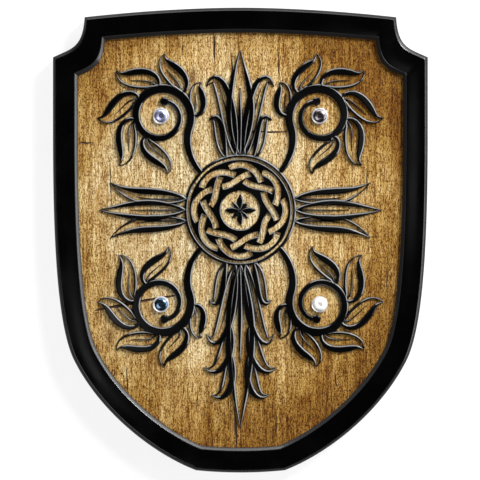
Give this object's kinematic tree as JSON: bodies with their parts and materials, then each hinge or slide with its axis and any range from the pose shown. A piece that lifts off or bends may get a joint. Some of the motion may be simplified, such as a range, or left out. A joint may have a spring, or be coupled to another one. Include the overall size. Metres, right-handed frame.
{
  "type": "wooden shield",
  "caption": "Heater-style wooden toy shield with notched shoulders, black bevelled rim, oak panel, raised black scrollwork, socket-head bolts and webbing grips on the back.",
  "frame": {"origin": "on the surface that the shield lies on, under the middle of its outline", "axes": "+Z out of the shield's front, +Y to its top edge, +X to the right as one looks at the front"},
  "size_m": [0.3, 0.372, 0.0184],
  "materials": {
    "black_lacquered_wood": "satin black lacquer",
    "oak": "oiled, aged",
    "black_relief": "satin black paint",
    "dark_steel": "dark zinc",
    "zinc_steel": "bright zinc",
    "black_webbing": "woven polyester"
  },
  "bodies": {
    "root": {"rim_frame": "black_lacquered_wood", "wood_panel": "oak", "ornament": "black_relief", "bolt_upper_left": "dark_steel", "bolt_upper_right": "dark_steel", "bolt_lower_left": "dark_steel", "bolt_lower_right": "dark_steel", "washer_front_upper_left": "zinc_steel", "washer_front_upper_right": "zinc_steel", "washer_front_lower_left": "zinc_steel", "washer_front_lower_right": "zinc_steel", "washer_back_upper_left": "zinc_steel", "washer_back_upper_right": "zinc_steel", "washer_back_lower_left": "zinc_steel", "washer_back_lower_right": "zinc_steel", "nut_upper_left": "zinc_steel", "nut_upper_right": "zinc_steel", "nut_lower_left": "zinc_steel", "nut_lower_right": "zinc_steel", "strap_left": "black_webbing", "strap_right": "black_webbing"}
  },
  "joints": []
}
